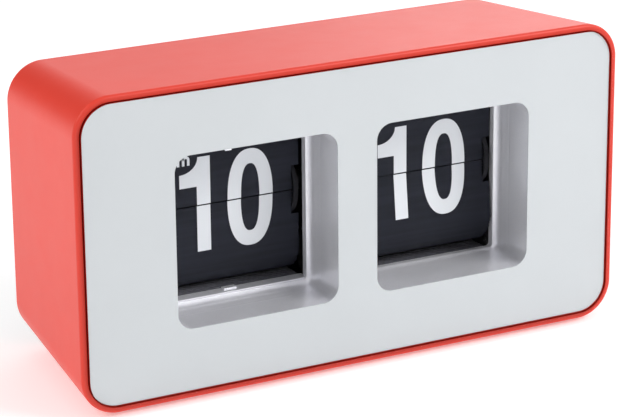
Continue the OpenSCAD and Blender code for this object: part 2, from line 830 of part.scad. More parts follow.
// Thumbwheel with a milled rim; its hub runs through the motor plate to the setting gear
module setting_wheel() {
    ridges = 48;
    color(charcoal) place() difference() {
        union() {
            translate([0, setting_y, setting_z]) across(thumb_x0, thumb_x0 + thumb_t) polygon([
                for (i = [0:4 * ridges - 1])
                    let (a = i * 90 / ridges, r = i % 4 < 2 ? thumb_r : thumb_r - 0.5)
                    r * [cos(a), sin(a)]
            ]);
            bar(side_gear_x + side_gear_t, thumb_x0, neck_r, setting_y, setting_z);
        }
        bar(60, 75, 1.5 + fit, setting_y, setting_z);
        difference() {
            bar(thumb_x0 + 2, 75, thumb_r - 2.5, setting_y, setting_z);
            bar(thumb_x0, 76, 5, setting_y, setting_z);
        }
    }
}

// ---------- circuit ----------

module circuit_board() {
    color("#2f6b3c") place() {
        block([-63.4, 24, -30], [-61.8, 45.4, -6]);
        for (y = [27, 42], z = [-27, -9]) bar(-61.8, -side_x1, 1.5, y, z);
    }
}

module timer_chip() {
    color("#141416") place() block([-65, 29, -20], [-63.4, 37, -14]);
}

module crystal_can() {
    color(steel) place() block([-65.6, 39, -26], [-63.4, 42, -19]);
}

case_sleeve();
front_lens();
window_mask();
window_bezel();
rear_cover();
rear_cover_screws();
rubber_feet();
battery_door();
battery_tray();
battery_cell();
contact_plate();
contact_spring();
battery_leads();
movement_frame();
movement_screws();
centre_plate();
motor_plate();
motor_plate_posts();
front_ring();
hour_leaf_tray();
minute_leaf_tray();
drum_shaft();
minute_hub();
minute_disc_inner();
minute_disc_outer();
minute_pinion();
minute_gear();
minute_leaves_waiting();
minute_leaves_fallen();
minute_flap();
hour_hub();
hour_disc_inner();
hour_disc_outer();
hour_gear();
hour_leaves_waiting();
hour_leaves_fallen();
hour_flap();
idler_axle();
idler_wheel();
idler_pinion();
motor_housing();
motor_cap();
motor_arbor();
motor_pinion();
setting_axle();
setting_gear();
setting_wheel();
circuit_board();
timer_chip();
crystal_can();
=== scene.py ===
import json
import math

import bmesh
import bpy
from mathutils import Matrix, Vector
from mathutils.geometry import tessellate_polygon


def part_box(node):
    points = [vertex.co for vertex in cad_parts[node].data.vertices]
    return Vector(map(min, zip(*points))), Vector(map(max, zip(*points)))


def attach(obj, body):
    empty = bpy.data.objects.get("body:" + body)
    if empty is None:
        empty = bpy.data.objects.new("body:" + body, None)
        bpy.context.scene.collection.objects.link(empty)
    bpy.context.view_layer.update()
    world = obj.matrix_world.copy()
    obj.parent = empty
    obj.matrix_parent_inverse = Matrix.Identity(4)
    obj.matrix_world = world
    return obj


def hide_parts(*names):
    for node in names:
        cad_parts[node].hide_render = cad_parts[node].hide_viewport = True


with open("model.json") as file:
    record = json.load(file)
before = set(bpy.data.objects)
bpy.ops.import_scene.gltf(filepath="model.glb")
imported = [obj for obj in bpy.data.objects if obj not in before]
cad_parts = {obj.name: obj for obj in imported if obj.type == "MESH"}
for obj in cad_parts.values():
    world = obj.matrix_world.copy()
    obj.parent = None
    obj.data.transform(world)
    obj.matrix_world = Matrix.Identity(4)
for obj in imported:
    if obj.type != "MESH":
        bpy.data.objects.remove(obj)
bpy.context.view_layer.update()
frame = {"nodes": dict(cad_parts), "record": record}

MM = 0.001

# ---------- sizes, in millimetres, as the frame was designed ----------
# Depths run back from the lip of the case, heights up from the middle of the front.
CASE_W, CASE_H, SLEEVE_D = 180.0, 95.0, 61.5
DRAFT, CORNER_R, WALL = 4.7, 11.4, 2.0
LENS_FRONT, LENS_BACK = -1.3, 0.7
MASK_BACK, BEZEL_BACK, TUNNEL_END = 1.0, 2.6, 18.5
WINDOW, WINDOW_X, WINDOW_R = 52.5, 32.8, 5.0
TUNNEL_WALL = 1.2  # at its foot
TUNNEL_STEP = 1.6  # how far the walls of a tunnel have come in at its end
MINUTE_DROP = 0.8  # how much less the floor of the minute tunnel steps up
POST_X, POST_Z, POST_R, POST_HOLE_R, POST_END = 66.0, 32.0, 3.0, 1.2, 18.6
BOSS_X, BOSS_Z, BOSS_R, BOSS_HOLE_R, BOSS_Y0, BOSS_Y1 = 74.0, 32.0, 4.0, 1.4, 45.0, 59.5
DRUM_X, SHAFT_Y, SPLIT_Z = 32.7, 30.4, 3.1
LEAF_T, PRINT_T = 0.15, 0.015

# side: left -1, right 1. r: shaft to leaf pins. pitch: degrees from pin to pin.
# tilt: how far the front fallen leaf leans out. start, next: how far back the leaf that falls
# and the one behind it stand. foot: from the split line up to the print on the leaf behind, which
# starts just above that leaf's lower edge.
MINUTE = {
    "side": 1, "body": "minute_leaf", "r": 10.2, "pitch": 6.0,
    "tilt": 6.0, "start": -0.086, "next": 0.114, "foot": 1.3,
}
HOUR = {
    "side": -1, "body": "hour_leaf", "r": 8.2, "pitch": 15.0,
    "tilt": 0.0, "start": -0.14, "next": 0.2, "foot": 2.4,
}

sleeve_lo, sleeve_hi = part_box("case_sleeve")
LIP_Y = sleeve_lo.y / MM
CENTRE_Z = (sleeve_lo.z + sleeve_hi.z) / 2 / MM


def at(x, y, z):
    """A point given from the middle of the front lip in mm, in the row frame in metres."""
    return Vector((x * MM, (y + LIP_Y) * MM, (z + CENTRE_Z) * MM))


# ---------- camera ----------
CAMERA_FROM_FRONT = (-361.97, -660.97, 252.25)  # mm from the middle of the front lip
AZIMUTH, ELEVATION, ROLL = 27.62, 18.38, -0.56
LENS_MM = 156.15


def make_camera():
    data = bpy.data.cameras.new("camera")
    data.lens = LENS_MM
    data.sensor_width = 36
    data.clip_start = 0.01
    data.clip_end = 50
    camera = bpy.data.objects.new("camera", data)
    bpy.context.collection.objects.link(camera)
    turn = Matrix.Rotation(-math.radians(AZIMUTH), 4, "Z")
    tip = Matrix.Rotation(math.radians(90 - ELEVATION), 4, "X")
    roll = Matrix.Rotation(math.radians(ROLL), 4, "Z")
    camera.matrix_world = Matrix.Translation(at(*CAMERA_FROM_FRONT)) @ turn @ tip @ roll
    bpy.context.scene.camera = camera


make_camera()


# ---------- materials ----------

def linear(rgb):
    """0-255 display colour to the scene's linear colour."""
    out = []
    for c in rgb:
        c = c / 255
        out.append(c / 12.92 if c <= 0.04045 else ((c + 0.055) / 1.055) ** 2.4)
    return (*out, 1.0)


class Nodes:
    """A short way to build a material's node tree. Sizes are in millimetres."""

    def __init__(self, name):
        self.material = bpy.data.materials.new(name)
        self.material.use_nodes = True
        self.tree = self.material.node_tree
        self.tree.nodes.clear()
        self.output = self.add("ShaderNodeOutputMaterial")

    def add(self, kind, **settings):
        node = self.tree.nodes.new(kind)
        for key, value in settings.items():
            setattr(node, key, value)
        return node

    def join(self, source, target):
        self.tree.links.new(source, target)

    def coords(self, stretch=(1, 1, 1)):
        place = self.add("ShaderNodeTexCoord")
        mapping = self.add("ShaderNodeMapping")
        mapping.inputs["Scale"].default_value = stretch
        self.join(place.outputs["Object"], mapping.inputs["Vector"])
        return mapping.outputs["Vector"]

    def noise(self, size_mm, detail=4.0, rough=0.55, stretch=(1, 1, 1)):
        node = self.add("ShaderNodeTexNoise")
        node.inputs["Scale"].default_value = 1 / (size_mm * MM)
        node.inputs["Detail"].default_value = detail
        node.inputs["Roughness"].default_value = rough
        self.join(self.coords(stretch), node.inputs["Vector"])
        return node.outputs["Fac"]

    def spread(self, value, low, high, source=(0.3, 0.7)):
        """Maps a value from the source range onto low to high; most of a noise lies in 0.3 to 0.7."""
        node = self.add("ShaderNodeMapRange")
        node.inputs["From Min"].default_value = source[0]
        node.inputs["From Max"].default_value = source[1]
        node.inputs["To Min"].default_value = low
        node.inputs["To Max"].default_value = high
        self.join(value, node.inputs["Value"])
        return node.outputs["Result"]

    def blend(self, factor, low, high):
        """Mixes two colours. Inputs 6 and 7 and output 2 are the node's colour sockets."""
        node = self.add("ShaderNodeMix", data_type="RGBA")
        self.join(factor, node.inputs["Factor"])
        for socket, colour in ((node.inputs[6], low), (node.inputs[7], high)):
            if isinstance(colour, tuple):
                socket.default_value = colour
            else:
                self.join(colour, socket)
        return node.outputs[2]

    def bump(self, height, depth_mm, after=None):
        node = self.add("ShaderNodeBump")
        node.inputs["Strength"].default_value = 1.0
        node.inputs["Distance"].default_value = depth_mm * MM
        self.join(height, node.inputs["Height"])
        if after is not None:
            self.join(after, node.inputs["Normal"])
        return node.outputs["Normal"]

    def math(self, operation, first, second=None):
        """One arithmetic node; first and second are sockets or numbers."""
        node = self.add("ShaderNodeMath", operation=operation)
        for target, value in ((node.inputs[0], first), (node.inputs[1], second)):
            if isinstance(value, (int, float)):
                target.default_value = value
            elif value is not None:
                self.join(value, target)
        return node.outputs["Value"]

    def axis(self, vector, letter):
        """The X, Y or Z part of a vector."""
        node = self.add("ShaderNodeSeparateXYZ")
        self.join(vector, node.inputs["Vector"])
        return node.outputs[letter]

    def principled(self, **values):
        node = self.add("ShaderNodeBsdfPrincipled")
        for key, value in values.items():
            node.inputs[key.replace("_", " ")].default_value = value
        self.join(node.outputs["BSDF"], self.output.inputs["Surface"])
        return node


def shade(colour, by):
    """A colour made lighter or darker."""
    return (*[min(1.0, c * by) for c in colour[:3]], 1.0)


def moulded(name, rgb, rough, grain_mm=0.35, grain_depth=0.01, drift=0.06, rough_drift=0.05, **values):
    """Moulded or painted plastic: slow colour drift, fine surface grain, uneven gloss."""
    m = Nodes(name)
    base = linear(rgb)
    shader = m.principled(**values)
    slow = m.spread(m.noise(38, 2), 0, 1)
    m.join(m.blend(slow, shade(base, 1 - drift), shade(base, 1 + drift)), shader.inputs["Base Color"])
    m.join(m.spread(m.noise(6, 5), rough - rough_drift, rough + rough_drift), shader.inputs["Roughness"])
    m.join(m.bump(m.noise(grain_mm, 3), grain_depth), shader.inputs["Normal"])
    return m.material


def turned(name, rgb, rough, stretch, scratch_mm=0.5, depth=0.004, **values):
    """Rolled, turned or brushed metal: fine scratches along one direction."""
    m = Nodes(name)
    base = linear(rgb)
    shader = m.principled(Metallic=1.0, **values)
    lines = m.noise(scratch_mm, 4, 0.7, stretch)
    m.join(m.blend(m.spread(lines, 0, 1), shade(base, 0.86), shade(base, 1.08)), shader.inputs["Base Color"])
    m.join(m.spread(lines, rough - 0.07, rough + 0.09), shader.inputs["Roughness"])
    m.join(m.bump(lines, depth), shader.inputs["Normal"])
    return m.material


def soft_touch_coral():
    """Coral rubberised paint: satin, with a very fine orange peel, and painted shade that darkens the front
    lip.
    """
    m = Nodes("soft_touch_coral")
    base = linear((230, 60, 41))
    lip_depth, lip_painted_shade = 1.3, 0.84
    shader = m.principled(Sheen_Weight=0.05, Sheen_Roughness=0.45, Specular_IOR_Level=0.4)
    slow = m.spread(m.noise(45, 2), 0, 1)
    # painted shade: the coral is darkened on the front lip and fades back to its plain colour 1.3 mm behind
    # the lip
    lip_shade_fade = m.spread(m.axis(m.coords(), "Y"), 0, 1, (LIP_Y * MM, (LIP_Y + lip_depth) * MM))
    paint = m.blend(slow, shade(base, 0.985), shade(base, 1.015))
    m.join(m.blend(lip_shade_fade, shade(base, lip_painted_shade), paint), shader.inputs["Base Color"])
    m.join(m.spread(m.noise(9, 5), 0.42, 0.45), shader.inputs["Roughness"])
    peel = m.bump(m.noise(1.6, 2), 0.012)
    m.join(m.bump(m.noise(0.22, 3), 0.005, after=peel), shader.inputs["Normal"])
    return m.material


def clear_plate():
    """Polished acrylic: clear from the front and mirrors at glancing angles; its sawn sides look dark
    because they are made opaque and painted dark red as painted shade for the gap beside the lip.
    """
    m = Nodes("clear_plate")
    shader = m.principled(Metallic=1.0)
    tint = m.blend(m.spread(m.noise(60, 2), 0, 1), linear((248, 250, 251)), linear((252, 253, 254)))
    m.join(m.spread(m.noise(30, 3), 0.02, 0.05), shader.inputs["Roughness"])
    surface = m.add("ShaderNodeNewGeometry")
    faces_front = m.math("ABSOLUTE", m.axis(surface.outputs["True Normal"], "Y"))
    sawn = m.math("LESS_THAN", faces_front, 0.3)
    # painted shade: the sawn sides take a dark red that stands for the shadow in the gap between the plate
    # and the coral lip, and the alpha below makes them opaque
    m.join(m.blend(sawn, tint, linear((172, 92, 86))), shader.inputs["Base Color"])
    fresnel = m.add("ShaderNodeFresnel")
    fresnel.inputs["IOR"].default_value = 1.16
    mirror_from = 0.008  # a fainter mirror image than this only adds noise to the dark leaves
    mirrored = m.spread(fresnel.outputs["Fac"], 0, 1, (mirror_from, 1))
    outer = m.math("SUBTRACT", 1, surface.outputs["Backfacing"])
    m.join(m.math("MULTIPLY", m.math("MAXIMUM", mirrored, sawn), outer), shader.inputs["Alpha"])
    return m.material


def silver_paint():
    """Satin silver paint over moulded plastic, with fine metal flake."""
    m = Nodes("silver_paint")
    base = linear((248, 248, 255))
    shader = m.principled(Metallic=0.5, Specular_IOR_Level=0.6)
    flake = m.add("ShaderNodeTexVoronoi")
    flake.inputs["Scale"].default_value = 1 / (0.18 * MM)
    m.join(m.coords(), flake.inputs["Vector"])
    sparkle = m.spread(flake.outputs["Distance"], 1, 0, (0.1, 0.7))
    m.join(m.blend(sparkle, shade(base, 0.95), shade(base, 1.08)), shader.inputs["Base Color"])
    m.join(m.spread(m.noise(7, 5), 0.30, 0.40), shader.inputs["Roughness"])
    m.join(m.bump(m.noise(0.5, 3), 0.006), shader.inputs["Normal"])
    return m.material


def cell_label():
    """Plastic sleeve of the cell: blue, with a brass-coloured band at one end."""
    m = Nodes("cell_label")
    shader = m.principled(Roughness=0.3, Coat_Weight=0.3)
    blue_to, brass_from = 14.5, 15.0
    band = m.spread(m.axis(m.coords(), "X"), 0, 1, (blue_to * MM, brass_from * MM))
    sleeve = m.blend(m.spread(m.noise(12, 3), 0, 1), linear((38, 84, 130)), linear((46, 96, 146)))
    m.join(m.blend(band, sleeve, linear((196, 158, 90))), shader.inputs["Base Color"])
    m.join(m.bump(m.noise(0.8, 3), 0.01), shader.inputs["Normal"])
    return m.material


def circuit_green():
    """Solder mask with a faint grid of tracks."""
    m = Nodes("circuit_green")
    shader = m.principled(Roughness=0.35, Coat_Weight=0.4)
    tracks = m.add("ShaderNodeTexBrick")
    tracks.inputs["Scale"].default_value = 1 / (2.2 * MM)
    tracks.inputs["Color1"].default_value = linear((30, 92, 48))
    tracks.inputs["Color2"].default_value = linear((36, 104, 54))
    tracks.inputs["Mortar"].default_value = linear((74, 140, 80))
    turn = m.add("ShaderNodeMapping")
    turn.inputs["Rotation"].default_value = (0, math.radians(90), 0)
    m.join(m.coords(), turn.inputs["Vector"])
    m.join(turn.outputs["Vector"], tracks.inputs["Vector"])
    m.join(tracks.outputs["Color"], shader.inputs["Base Color"])
    m.join(m.bump(tracks.outputs["Fac"], 0.03), shader.inputs["Normal"])
    return m.material


def leaf_plastic():
    """Thin black sheet with faint bands along its width: partly its grain, partly painted shade and
    highlight for the lines between stacked leaves.
    """
    m = Nodes("leaf_black")
    base = linear((28, 30, 39))
    shader = m.principled(Roughness=0.5, Specular_IOR_Level=0.16)
    grain = m.noise(2.0, 2, 0.5, (0.05, 1, 1))
    grain_and_shade_bands = m.spread(grain, 0, 1, (0.35, 0.7))
    # partly painted shade and highlight: the darker and lighter horizontal bands stand for the shadow and
    # glint lines along the tips of the stacked leaves, as well as the sheet's grain
    m.join(m.blend(grain_and_shade_bands, shade(base, 0.88), shade(base, 1.3)), shader.inputs["Base Color"])
    m.join(m.bump(m.noise(6, 2, 0.4), 0.003), shader.inputs["Normal"])
    return m.material


def make_materials():
    """Every material by its slot's name, and digit_white for the prints."""
    return {
        "coral_shell": soft_touch_coral(),
        "clear_plate": clear_plate(),
        "white_print": moulded("white_print", (197, 201, 204), 0.32, 0.5, 0.002, 0.012, 0.02),
        "silver_bezel": silver_paint(),
        "charcoal_plastic": moulded("charcoal_plastic", (40, 40, 43), 0.52, 0.45, 0.03, 0.08),
        "screw_steel": turned("screw_steel", (176, 178, 182), 0.32, (1, 1, 6)),
        "foot_rubber": moulded("foot_rubber", (27, 27, 28), 0.78, 0.6, 0.03, 0.12),
        "cell_label": cell_label(),
        "spring_steel": turned("spring_steel", (205, 206, 208), 0.2, (1, 4, 1)),
        "wire_insulation": moulded("wire_insulation", (150, 34, 30), 0.35, 0.3, 0.004),
        "frame_plastic": moulded("frame_plastic", (46, 46, 50), 0.45, 0.5, 0.012, 0.05),
        "tray_grey": moulded("tray_grey", (104, 104, 111), 0.4, 0.5, 0.012, 0.05),
        "plate_steel": turned("plate_steel", (168, 170, 174), 0.34, (1, 1, 9)),
        "arbor_steel": turned("arbor_steel", (190, 191, 194), 0.24, (9, 1, 1), 0.3),
        "brass": turned("brass", (205, 165, 86), 0.26, (9, 1, 1), 0.3),
        "gear_nylon": moulded("gear_nylon", (232, 229, 218), 0.42, 0.4, 0.01, 0.03, Subsurface_Weight=0.08),
        "drum_black": moulded("drum_black", (37, 37, 41), 0.6, 0.4, 0.008, 0.1, Specular_IOR_Level=0.14),
        "leaf_black": leaf_plastic(),
        "digit_white": moulded("digit_white", (222, 225, 229), 0.5, 0.2, 0.002, 0.02),
        "board_green": circuit_green(),
        "chip_black": moulded("chip_black", (22, 22, 24), 0.55, 0.25, 0.01),
    }


MATERIALS = make_materials()


# ---------- mesh helpers ----------

def rounded_outline(width, height, radius, steps=14):
    """Points of a rectangle with round corners, anticlockwise from the lower right corner."""
    points = []
    for quarter, (sx, sz) in enumerate(((1, -1), (1, 1), (-1, 1), (-1, -1))):
        cx, cz = sx * (width / 2 - radius), sz * (height / 2 - radius)
        for i in range(steps + 1):
            a = math.radians(-90 + 90 * quarter + 90 * i / steps)
            points.append((cx + radius * math.cos(a), cz + radius * math.sin(a)))
    return points


def add_ring(bm, outline, y, dx=0.0, dz=0.0):
    """One turn of points, (x, z), at a depth y."""
    return [bm.verts.new(at(x + dx, y, z + dz)) for x, z in outline]


def bridge(bm, first, second):
    """A band of four-sided faces between two turns of points."""
    count = len(first)
    for i in range(count):
        j = (i + 1) % count
        bm.faces.new((first[i], first[j], second[j], second[i]))


def loft(bm, rings, closed=False):
    """Faces between neighbouring rings; closed joins the last ring back to the first."""
    for first, second in zip(rings, rings[1:]):
        bridge(bm, first, second)
    if closed:
        bridge(bm, rings[-1], rings[0])
    else:
        bm.faces.new(list(reversed(rings[0])))
        bm.faces.new(rings[-1])


def new_piece(name, bm, slot, body, sharp_angle=30):
    """A finished piece from its mesh, in its material, riding on its body."""
    bmesh.ops.recalc_face_normals(bm, faces=bm.faces)
    mesh = bpy.data.meshes.new(name)
    bm.to_mesh(mesh)
    bm.free()
    mesh.shade_smooth()
    mesh.set_sharp_from_angle(angle=math.radians(sharp_angle))
    piece = bpy.data.objects.new(name, mesh)
    bpy.context.collection.objects.link(piece)
    mesh.materials.append(MATERIALS[slot])
    even = piece.modifiers.new("even_normals", "WEIGHTED_NORMAL")
    even.keep_sharp = True
    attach(piece, body)
    return piece


def tube(bm, x, z, y0, y1, outer, inner, steps=32):
    """A round post along Y, with a hole right through it."""
    def circle(r):
        angles = [2 * math.pi * i / steps for i in range(steps)]
        return [(r * math.cos(a), r * math.sin(a)) for a in angles]

    lead = 0.25
    rings = [
        add_ring(bm, circle(r), y, x, z)
        for y, r in (
            (y0, inner), (y0, outer - lead), (y0 + lead, outer), (y1 - lead, outer), (y1, outer - lead),
            (y1, inner + lead), (y1 - lead, inner),
        )
    ]
    loft(bm, rings, closed=True)


# ---------- case ----------

def case_ring(bm, y, inset):
    """One turn of the sleeve's tapered outline, brought in by inset."""
    come_in = 2 * (inset + DRAFT * max(0.0, y) / SLEEVE_D)
    return add_ring(bm, rounded_outline(CASE_W - come_in, CASE_H - come_in, CORNER_R - inset, 20), y)


def arc(cy, ci, ry, ri, a0, a1, steps):
    """Points (depth, inset) of an arc, for the profile of a wall."""
    out = []
    for i in range(steps + 1):
        a = math.radians(a0 + (a1 - a0) * i / steps)
        out.append((cy + ry * math.cos(a), ci + ri * math.sin(a)))
    return out


def case_profile():
    """Section through the sleeve's wall as (depth, inset): lip, outside, rear rim, inner ledge."""
    lip_r, rim_r, edge = 1.1, 0.8, 0.3
    ledge_inset = 5.8
    profile = arc(edge, WALL - edge, edge, edge, 90, 180, 4)
    profile += arc(lip_r, lip_r, lip_r, lip_r, 180, 270, 8)
    profile += [(y, 0) for y in range(12, 60, 12)]
    profile += arc(SLEEVE_D - rim_r, rim_r, rim_r, rim_r, 270, 360, 6)
    profile += arc(SLEEVE_D - edge, WALL - edge, edge, edge, 0, 90, 4)
    ledge_back = BEZEL_BACK + 2
    profile += [(ledge_back, WALL), (ledge_back, ledge_inset), (BEZEL_BACK, ledge_inset), (BEZEL_BACK, WALL)]
    return profile


def make_case_shell():
    """The sleeve, with four screw bosses that each stand on a web."""
    bm = bmesh.new()
    loft(bm, [case_ring(bm, y, inset) for y, inset in case_profile()], closed=True)
    web, web_from, web_to = 1.5, BOSS_Z + 2.2, 41.2
    for sx in (-1, 1):
        for sz in (-1, 1):
            tube(bm, sx * BOSS_X, sz * BOSS_Z, BOSS_Y0, BOSS_Y1, BOSS_R, BOSS_HOLE_R)
            outline = [(-web, sz * web_from), (web, sz * web_from), (web, sz * web_to), (-web, sz * web_to)]
            loft(bm, [add_ring(bm, outline, y, sx * BOSS_X) for y in (BOSS_Y0, BOSS_Y1)])
    shell = new_piece("case_shell", bm, "coral_shell", "case")
    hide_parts("case_sleeve")


def make_front_plate():
    """The clear plate, with its edges rounded over."""
    bm = bmesh.new()
    front_edge, back_edge = 0.3, 0.1
    gap = 0.06
    inset = WALL + gap
    width, height, radius = CASE_W - 2 * inset, CASE_H - 2 * inset, CORNER_R - WALL - gap
    profile = arc(LENS_FRONT + front_edge, front_edge, front_edge, front_edge, 180, 270, 4)
    profile += arc(LENS_BACK - back_edge, back_edge, back_edge, back_edge, 270, 360, 2)
    rings = []
    for y, i in profile:
        rings.append(add_ring(bm, rounded_outline(width - 2 * i, height - 2 * i, radius - i, 20), y))
    loft(bm, rings)
    plate = new_piece("front_plate", bm, "clear_plate", "case")
    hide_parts("front_lens")


# ---------- bezel ----------

def tunnel_inside():
    """Inside of a window tunnel as (depth, inset, corner radius), from the print back to the leaves.

    The wall runs straight, has a faint groove, swells slowly and then rises to a narrow flat ledge.
    """
    profile = [
        (MASK_BACK, 0, WINDOW_R), (4, 0.02, 4.8), (8, 0.05, 4.4), (11.0, 0.08, 4.0),
        (11.3, 0.06, 3.9), (11.6, 0.01, 3.9), (11.9, 0.02, 3.8), (12.2, 0.09, 3.8),
    ]
    swell_y, riser_y, ledge_y = 12.2, 15.0, 18.3
    swell_in, riser_in, ledge_in = 0.09, 0.34, 1.58
    swell_r, riser_r, ledge_r = 3.8, 2.5, 1.1
    steps = 7
    for i in range(1, steps + 1):
        t = i / steps
        rise = swell_in + (riser_in - swell_in) * t * t
        profile.append((swell_y + (riser_y - swell_y) * t, rise, swell_r + (riser_r - swell_r) * t))
    for i in range(1, steps + 1):
        t = i / steps
        rise = riser_in + (ledge_in - riser_in) * t ** 3
        profile.append((riser_y + (ledge_y - riser_y) * t, rise, riser_r + (ledge_r - riser_r) * t))
    return profile + [(TUNNEL_END, TUNNEL_STEP, 1.0)]


def tunnel_outside():
    """Outside of a window tunnel, in the same terms, from the leaves forward to the print."""
    return [
        (TUNNEL_END, 0.3, 1.9), (16.4, -0.7, 3), (12.4, -1.1, 4),
        (BEZEL_BACK, -TUNNEL_WALL, 6), (MASK_BACK, -TUNNEL_WALL, 6),
    ]


def tunnel_ring(bm, side, y, inset, radius):
    size = WINDOW - 2 * inset
    drop = MINUTE_DROP * max(0.0, inset) / TUNNEL_STEP if side > 0 else 0
    outline = rounded_outline(size, size + drop, radius, 12)
    return add_ring(bm, outline, y, side * WINDOW_X, -drop / 2)


def make_bezel():
    """The silver plate behind the print, with its two window tunnels and four screw posts."""
    bm = bmesh.new()
    for side in (-1, 1):
        turns = tunnel_inside() + tunnel_outside()
        loft(bm, [tunnel_ring(bm, side, *turn) for turn in turns], closed=True)
    for sx in (-1, 1):
        for sz in (-1, 1):
            tube(bm, sx * POST_X, sz * POST_Z, BEZEL_BACK, POST_END, POST_R, POST_HOLE_R)
    edge_gap, opening_r = 0.6, 6.2
    plate_with_holes(bm, edge_gap, WINDOW + 2 * TUNNEL_WALL, opening_r, MASK_BACK, BEZEL_BACK)
    bezel = new_piece("silver_bezel", bm, "silver_bezel", "case", 35)
    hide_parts("window_bezel")


def plate_with_holes(bm, edge_gap, opening, opening_r, y0, y1):
    """A flat plate across the front with a round-cornered opening for each window."""
    inset = 2 * (WALL + edge_gap)
    loops = [rounded_outline(CASE_W - inset, CASE_H - inset, CORNER_R - WALL - edge_gap, 16)]
    for side in (-1, 1):
        hole = rounded_outline(opening, opening, opening_r, 12)
        loops.append([(x + side * WINDOW_X, z) for x, z in reversed(hole)])
    extrude_loops(bm, loops, lambda x, z, d: at(x, y0 + d, z), y1 - y0)


def make_window_print():
    """The white print on the back of the clear plate, clear only at the two windows."""
    bm = bmesh.new()
    edge_gap, air = 0.3, 0.03
    plate_with_holes(bm, edge_gap, WINDOW, WINDOW_R, LENS_BACK + air, MASK_BACK - air)
    print_layer = new_piece("window_print", bm, "white_print", "case")
    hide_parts("window_mask")


def extrude_loops(bm, loops, to_point, depth):
    """A flat solid whose first loop is its outline and whose other loops are holes."""
    flat = [[Vector((x, z, 0)) for x, z in loop] for loop in loops]
    triangles = tessellate_polygon(flat)
    points = [p for loop in loops for p in loop]
    layers = [[bm.verts.new(to_point(x, z, d)) for x, z in points] for d in (0, depth)]
    for a, b, c in triangles:
        bm.faces.new((layers[0][a], layers[0][b], layers[0][c]))
        bm.faces.new((layers[1][c], layers[1][b], layers[1][a]))
    start = 0
    for loop in loops:
        n = len(loop)
        bridge(bm, layers[0][start:start + n], layers[1][start:start + n])
        start += n


# ---------- digits printed on the leaves ----------
# u runs to the right from the middle of a leaf and v up from the split line, in mm.
DIGIT_TOP, DIGIT_FOOT, SPLIT_GAP = 14.95, 14.4, 0.24
TENS_RIGHT, UNITS_RIGHT = -5.2, 10.2  # the right side of a 1 in either place
ZERO_CENTRE = 7.9


def zero_half(up):
    """Upper or lower half of a 0: the band between two rounded outlines."""
    half_w, half_h, half_power = 7.5, 15.1, 2.35
    hole_w, hole_h, hole_power = 3.05, 10.5, 2.5
    steps = 40

    def edge(w, h, power):
        points = []
        for i in range(steps + 1):
            a = math.pi * i / steps
            u = ZERO_CENTRE + w * math.copysign(abs(math.cos(a)) ** (2 / power), math.cos(a))
            v = max(SPLIT_GAP, h * math.sin(a) ** (2 / power) if 0 < i < steps else 0)
            points.append((u, v if up else -v))
        return points

    return edge(half_w, half_h, half_power) + list(reversed(edge(hole_w, hole_h, hole_power)))


def one_half(up, right=TENS_RIGHT):
    """Upper half of a 1 with its curved flag, or its plain lower half."""
    stem, top_w, flag_w, flag_top, flag_foot = 4.4, 4.0, 10.0, 10.1, 5.95
    left = right - stem
    if not up:
        return [(right, -SPLIT_GAP), (left, -SPLIT_GAP), (left, -DIGIT_FOOT), (right, -DIGIT_FOOT)]
    tip = right - flag_w
    sweep_w, sweep_h = right - top_w - tip, DIGIT_TOP - flag_top
    steps = 14
    curve = []
    for i in range(steps + 1):
        a = math.radians(90 * i / steps)
        curve.append((tip + sweep_w * math.cos(a), DIGIT_TOP - sweep_h * math.sin(a)))
    flag = [*curve, (tip, flag_foot), (left, flag_foot)]
    return [(right, SPLIT_GAP), (right, DIGIT_TOP), *flag, (left, SPLIT_GAP)]


def ribbon(points, width):
    """A stroke of even width along points."""
    left, right = [], []
    for i, (u, v) in enumerate(points):
        (u0, v0), (u1, v1) = points[max(i - 1, 0)], points[min(i + 1, len(points) - 1)]
        length = math.hypot(u1 - u0, v1 - v0)
        nu, nv = -(v1 - v0) / length * width / 2, (u1 - u0) / length * width / 2
        left.append((u + nu, v + nv))
        right.append((u - nu, v - nv))
    return left + list(reversed(right))


def bow(cu, cv, ru, rv, a0, a1, steps=12):
    """Points of an oval's arc from angle a0 to a1."""
    out = []
    for i in range(steps + 1):
        a = math.radians(a0 + (a1 - a0) * i / steps)
        out.append((cu + ru * math.cos(a), cv + rv * math.sin(a)))
    return out


def am_mark():
    """The small morning mark at the upper left of the hour."""
    base, high, line = 12.8, 3.0, 0.82
    stems = (-15.45, -13.8, -12.15)
    strokes = [ribbon([(stems[0], base), (stems[0], base + high)], line)]
    arch = (stems[1] - stems[0]) / 2
    for left in stems[:2]:
        top = base + high - arch - line / 2
        strokes.append(ribbon(bow(left + arch, top, arch, arch, 180, 0) + [(left + 2 * arch, base)], line))
    a_mid, a_half = -18.0, 0.95
    bowl_v, bowl_r = base + 1.2, 0.9
    hook_v, hook_r = base + 1.95, 0.8
    strokes.append(ribbon(bow(a_mid, bowl_v, a_half, bowl_r, 0, 360, 20), line))
    hook = bow(a_mid, hook_v, a_half, hook_r, 0, 150)
    strokes.append(ribbon([(a_mid + a_half, base), (a_mid + a_half, base + 1.9), *hook], line))
    return strokes


def leaf_matrix(drum, turn, back, fall):
    """Where a leaf's own x, y and z axes lie: x along its pins, z from pins to tip."""
    pin = at(
        drum["side"] * DRUM_X,
        SHAFT_Y - drum["r"] + back,
        SPLIT_Z + drum["r"] * math.sin(math.radians(turn)),
    )
    return Matrix.Translation(pin) @ Matrix.Rotation(-math.radians(fall), 4, "X")


def print_on_leaf(name, outlines, matrix, height_of, face, body):
    """White print on one face of a leaf. face is -1 for the front of an upright leaf and 1 for its back."""
    bm = bmesh.new()
    for outline in outlines:
        def to_point(u, v, d):
            depth = face * (LEAF_T / 2 + d)
            return matrix @ (Vector((u, depth, height_of(v))) * MM)
        extrude_loops(bm, [outline], to_point, PRINT_T)
    # a print has no slot of its own in the record: it goes by its leaf's, but in white
    piece = new_piece(name, bm, "leaf_black", body)
    piece.data.materials[0] = MATERIALS["digit_white"]
    return piece


